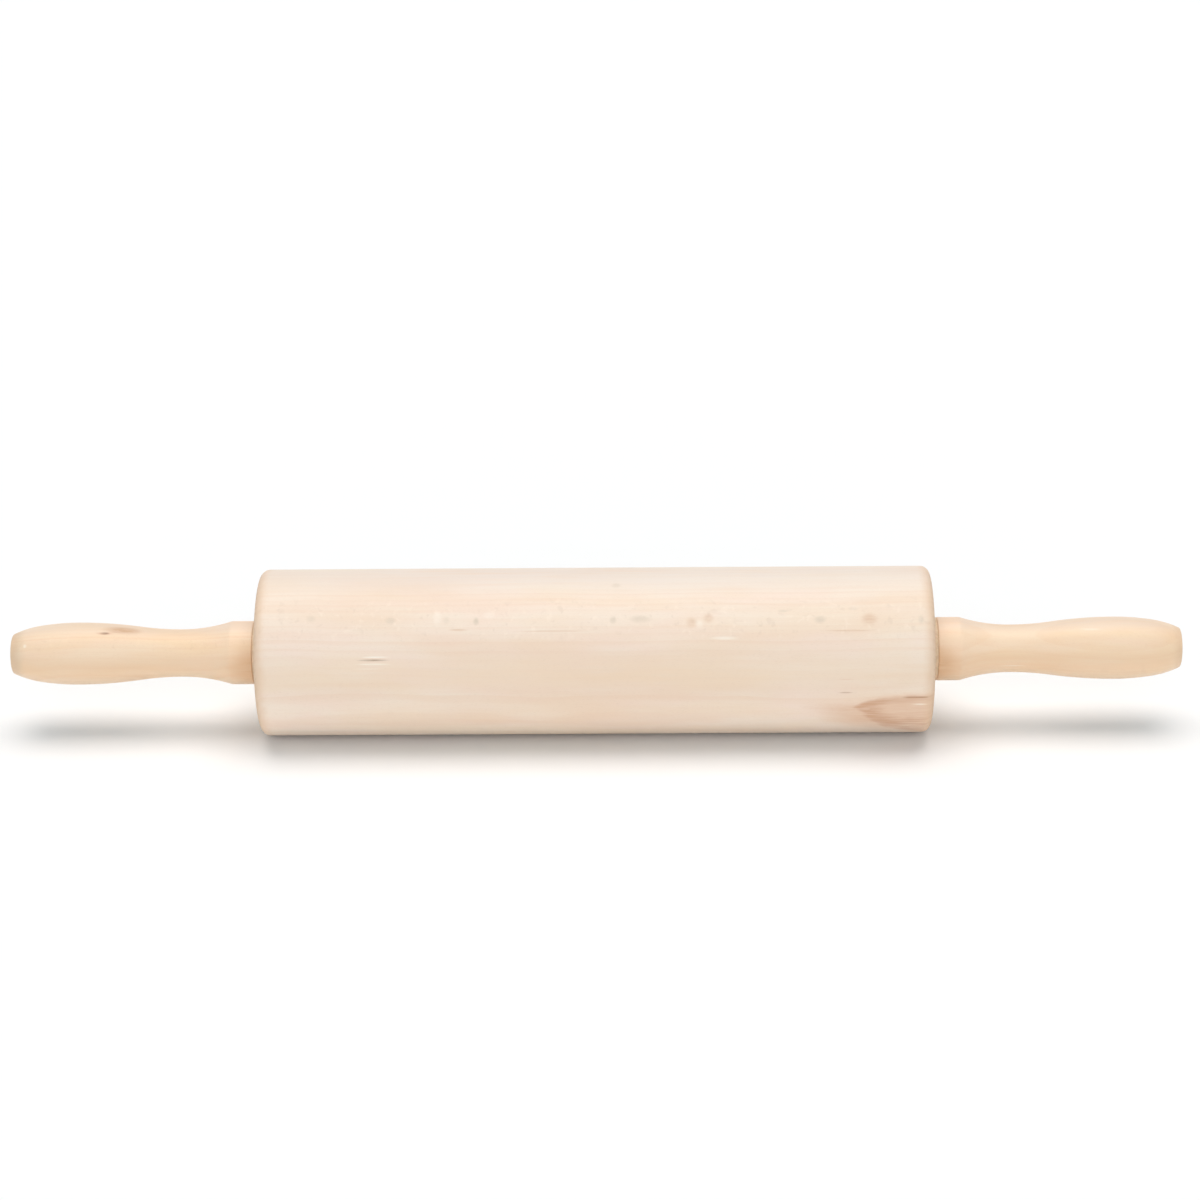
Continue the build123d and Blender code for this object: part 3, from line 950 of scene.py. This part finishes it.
def finer(outline, step):
    """The same outline with smooth curves between its points."""
    points = [Vector(point) for point in outline]
    result = [points[0]]
    for index in range(len(points) - 1):
        start, end = points[index], points[index + 1]
        before = points[index - 1] if index else start - (end - start)
        after = points[index + 2] if index + 2 < len(points) else end + (end - start)
        span = (end - start).length
        lead = (start - before).length
        tail = (after - end).length
        leave = (end - before) / (span + lead) * span if index else end - start
        arrive = (after - start) / (span + tail) * span if index + 2 < len(points) else end - start
        # A long straight run must not throw the short curve after it outwards.
        leave = leave if lead < LONG_RUN * span else leave.normalized() * span
        pieces = max(1, math.ceil(span / step))
        for count in range(1, pieces + 1):
            t = count / pieces
            result.append(
                start * (2 * t ** 3 - 3 * t ** 2 + 1) + leave * (t ** 3 - 2 * t ** 2 + t)
                + end * (3 * t ** 2 - 2 * t ** 3) + arrive * (t ** 3 - t ** 2)
            )
    return [(point.x, point.y) for point in result]


BARREL_SKIN = 30 * MM
outer = measured_outline("barrel", BARREL_SKIN)
print("barrel outline:", len(outer), "points, reach", outer[0][0] / MM, outer[-1][0] / MM)

# %% The lathe
SHARP_EDGE = math.radians(28)


def turn_on_lathe(name, outline, around, shrink):
    """Spin a closed outline round the axle. Shrink gives how far a point sits under the outline."""
    vertices = []
    for place, radius in outline:
        for count in range(around):
            angle = 2 * math.pi * count / around
            true_radius = radius - shrink(place, radius, angle)
            vertices.append((place, -true_radius * math.cos(angle), AXLE + true_radius * math.sin(angle)))
    faces = []
    total = len(outline)
    for row in range(total):
        after = (row + 1) % total
        for count in range(around):
            beside = (count + 1) % around
            faces.append((
                row * around + count, after * around + count,
                after * around + beside, row * around + beside,
            ))
    mesh = bpy.data.meshes.new(name)
    mesh.from_pydata(vertices, [], faces)
    mesh.validate()
    mesh.update()
    piece = bpy.data.objects.new(name, mesh)
    bpy.context.scene.collection.objects.link(piece)
    mesh.shade_smooth()
    mesh.set_sharp_from_angle(angle=SHARP_EDGE)
    return piece


SANDING = 0.03 * MM
WAVES_ALONG, WAVES_ROUND = 40, 1.6


def sanded(place, angle):
    """How far sandpaper went under the true outline at a point, in metres."""
    round_it = (math.cos(angle) * WAVES_ROUND, math.sin(angle) * WAVES_ROUND)
    return SANDING * (1.2 + noise.noise(Vector((place * WAVES_ALONG, *round_it))))


# %% [markdown]
# The barrel is bored through for the rod, and each end has a wider seat for its bearing. The mouth
# of each seat has its sharp edge taken off.

# %% Turn the barrel
BORE, SEAT, SEAT_DEPTH, MOUTH = 7 * MM, 11 * MM, 8.5 * MM, 0.3 * MM
END_RINGS = (26 * MM, 18 * MM)
BARREL_STEP, BARREL_AROUND = 2.5 * MM, 240
SANDED_FROM = 33 * MM


def barrel_outline():
    """Outer outline, then back through the left seat, the bore and the right seat."""
    shape = finer(measured_outline("barrel", BARREL_SKIN), BARREL_STEP)
    end = shape[-1][0]
    bored = [(end, radius) for radius in END_RINGS]
    bored += [(end, SEAT + MOUTH), (end - MOUTH, SEAT)]
    bored += [(end - SEAT_DEPTH, SEAT), (end - SEAT_DEPTH, BORE)]
    return shape + bored + [(-place, radius) for place, radius in reversed(bored)]


def barrel_shrink(place, radius, angle):
    """Sand the barrel's skin, but not its bore or its end faces."""
    return sanded(place, angle) if radius > SANDED_FROM else 0.0


barrel = turn_on_lathe("turned_barrel", barrel_outline(), BARREL_AROUND, barrel_shrink)
barrel.data.materials.append(barrel_wood)
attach(barrel, "barrel")
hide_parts("barrel")
print("barrel:", len(barrel.data.vertices), "points")

# %% [markdown]
# Each handle has a blind socket for the rod in its inner end, a narrow hole for the rod's stud, and
# a pocket in its tip for washer, nut and plug. The pip knot on the left handle is a real little
# hollow, because end grain in a knot shrinks more than the wood around it.

# %% Turn the handles
HANDLE_SKIN = 7.9 * MM
SOCKET, SOCKET_DEPTH, STUD_HOLE = 4.05 * MM, 60 * MM, 2.65 * MM
POCKET, POCKET_DEPTH = 5.3 * MM, 13.5 * MM
HANDLE_STEP, HANDLE_AROUND = 0.9 * MM, 160
PIP_PLACE, PIP_ANGLE = -223.6 * MM, math.radians(63.6)
PIP_LENGTH, PIP_WIDTH, PIP_DEPTH = 2.6 * MM, 1.0 * MM, 0.35 * MM


def handle_outline(node):
    """Outer outline from left to right, then back through the holes."""
    shape = finer(measured_outline(node, HANDLE_SKIN), HANDLE_STEP)
    side = 1 if shape[0][0] > 0 else -1
    face, tip = sorted((abs(shape[0][0]), abs(shape[-1][0])))
    floor, bottom = tip - POCKET_DEPTH, face + SOCKET_DEPTH
    holes = [
        (tip, POCKET + MOUTH), (tip - MOUTH, POCKET), (floor, POCKET), (floor, STUD_HOLE),
        (bottom, STUD_HOLE), (bottom, SOCKET), (face + MOUTH, SOCKET), (face, SOCKET + MOUTH),
    ]
    holes = [(side * place, radius) for place, radius in holes]
    return shape + (holes if side > 0 else holes[::-1])


def handle_shrink(place, radius, angle):
    """Sand a handle's skin, and sink the pip knot."""
    if radius < HANDLE_SKIN:
        return 0.0
    beside = (place - PIP_PLACE) / PIP_LENGTH
    from_pip = math.hypot(beside, radius * (angle - PIP_ANGLE) / PIP_WIDTH)
    hollow = PIP_DEPTH * max(0.0, 1 - from_pip ** 2) ** 2 if from_pip < 1 else 0.0
    return sanded(place, angle) + hollow


for side, wood in (("left", left_wood), ("right", right_wood)):
    node = side + "_handle"
    handle = turn_on_lathe("turned_" + node, handle_outline(node), HANDLE_AROUND, handle_shrink)
    handle.data.materials.append(wood)
    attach(handle, "handles")
    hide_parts(node)
    print(handle.name, len(handle.data.vertices), "points")

# %% [markdown]
# ## Nylon and metal
#
# The rings between barrel and handles, and the cages of the bearings, are nylon. The rings are the
# natural ivory colour of the plastic and a little translucent, with the faint flow marks of the
# mould. The metal inside is never seen in use, but it is finished for anyone who opens the pin up:
# a ground rod, ground bearing races, polished balls, pressed shields and zinc-plated nuts.

# %% Nylon
MOULD_PITCH, MOULD_BUMP, MOULD_DEPTH = 0.25, 0.25, 0.05 * MM


def make_nylon(name, base, darker, roughness, subsurface):
    """Moulded nylon with soft flow marks."""
    paint, tree = start_paint(name)
    place = millimetres(tree)
    flow = cloud(tree, place, 0.35, 3.0, 0.6, 1.2)
    colour = tint(tree, ease(tree, flow, 0.35, 0.7), base, darker)
    speck = cloud(tree, place, 6.0, 2.0)
    rings = use(tree, turning_rings, {"Piece Place": place, "Ring Pitch": MOULD_PITCH})
    rough = ease(tree, flow, 0.3, 0.7, roughness - 0.06, roughness + 0.06)
    height = plus(tree, speck, rings["Height"])
    bump = put(tree, "Bump", {"Strength": MOULD_BUMP, "Distance": MOULD_DEPTH, "Height": height})
    nylon = put(tree, "BsdfPrincipled", {
        "Base Color": colour, "Roughness": rough, "Normal": bump.outputs[0],
        "Subsurface Weight": subsurface, "Subsurface Scale": MM,
    })
    put(tree, "OutputMaterial", {"Surface": nylon.outputs[0]})
    return paint


IVORY, OLD_IVORY = screen_colour(226, 200, 168), screen_colour(212, 184, 152)
CHARCOAL, SOOT = screen_colour(58, 56, 52), screen_colour(44, 42, 40)
spacer_nylon = make_nylon("spacer_nylon", IVORY, OLD_IVORY, 0.42, 0.1)
cage_nylon = make_nylon("cage_nylon", CHARCOAL, SOOT, 0.45, 0.0)
print("nylon:", spacer_nylon.name, cage_nylon.name)

# %% Metal
STAIN_ROUGHNESS, RING_ROUGHNESS = 0.14, 0.04
RING_DEPTH = 0.03 * MM


def make_metal(name, base, darker, roughness, ring_pitch, scratch):
    """Turned, ground or polished metal with its own tool rings and a breath of oil stain."""
    paint, tree = start_paint(name)
    place = millimetres(tree)
    stain = cloud(tree, place, 0.12, 4.0, 0.6, 0.8)
    colour = tint(tree, ease(tree, stain, 0.4, 0.7), base, darker)
    rings = use(tree, turning_rings, {"Piece Place": place, "Ring Pitch": ring_pitch})
    height = rings["Height"]
    rough = ease(tree, stain, 0.3, 0.75, roughness, roughness + STAIN_ROUGHNESS)
    ridges = ease(tree, height, 0.3, 0.7, -RING_ROUGHNESS, RING_ROUGHNESS)
    rough = plus(tree, rough, ridges)
    bump = put(tree, "Bump", {"Strength": scratch, "Distance": RING_DEPTH, "Height": height})
    metal = put(tree, "BsdfPrincipled", {
        "Base Color": colour, "Metallic": 1.0, "Roughness": rough, "Normal": bump.outputs[0],
    })
    put(tree, "OutputMaterial", {"Surface": metal.outputs[0]})
    return paint


rod_steel = make_metal("rod_steel", (0.60, 0.60, 0.61, 1), (0.50, 0.49, 0.48, 1), 0.24, 0.08, 0.35)
race_steel = make_metal("race_steel", (0.62, 0.61, 0.60, 1), (0.52, 0.51, 0.49, 1), 0.16, 0.05, 0.25)
ball_steel = make_metal("ball_steel", (0.68, 0.67, 0.66, 1), (0.60, 0.59, 0.57, 1), 0.05, 0.40, 0.05)
shield_steel = make_metal("shield_steel", (0.58, 0.58, 0.57, 1), (0.48, 0.47, 0.45, 1), 0.30, 0.12, 0.30)
plated_steel = make_metal("plated_steel", (0.66, 0.68, 0.70, 1), (0.60, 0.58, 0.50, 1), 0.30, 0.20, 0.30)
print("metal:", rod_steel.name, race_steel.name, ball_steel.name, shield_steel.name, plated_steel.name)

# %% Put the finishes on the measured pieces
finishes = {
    "axle_rod": rod_steel, "washer": plated_steel, "nut": plated_steel, "end_plug": plug_wood,
    "spacer": spacer_nylon, "outer_race": race_steel, "inner_race": race_steel, "balls": ball_steel,
    "ball_cage": cage_nylon, "outer_shield": shield_steel, "inner_shield": shield_steel,
}
for name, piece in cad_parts.items():
    kind = name.removeprefix("left_").removeprefix("right_")
    if kind in finishes:
        for holder in piece.material_slots:
            holder.material = finishes[kind]
        print(name, "gets", finishes[kind].name)
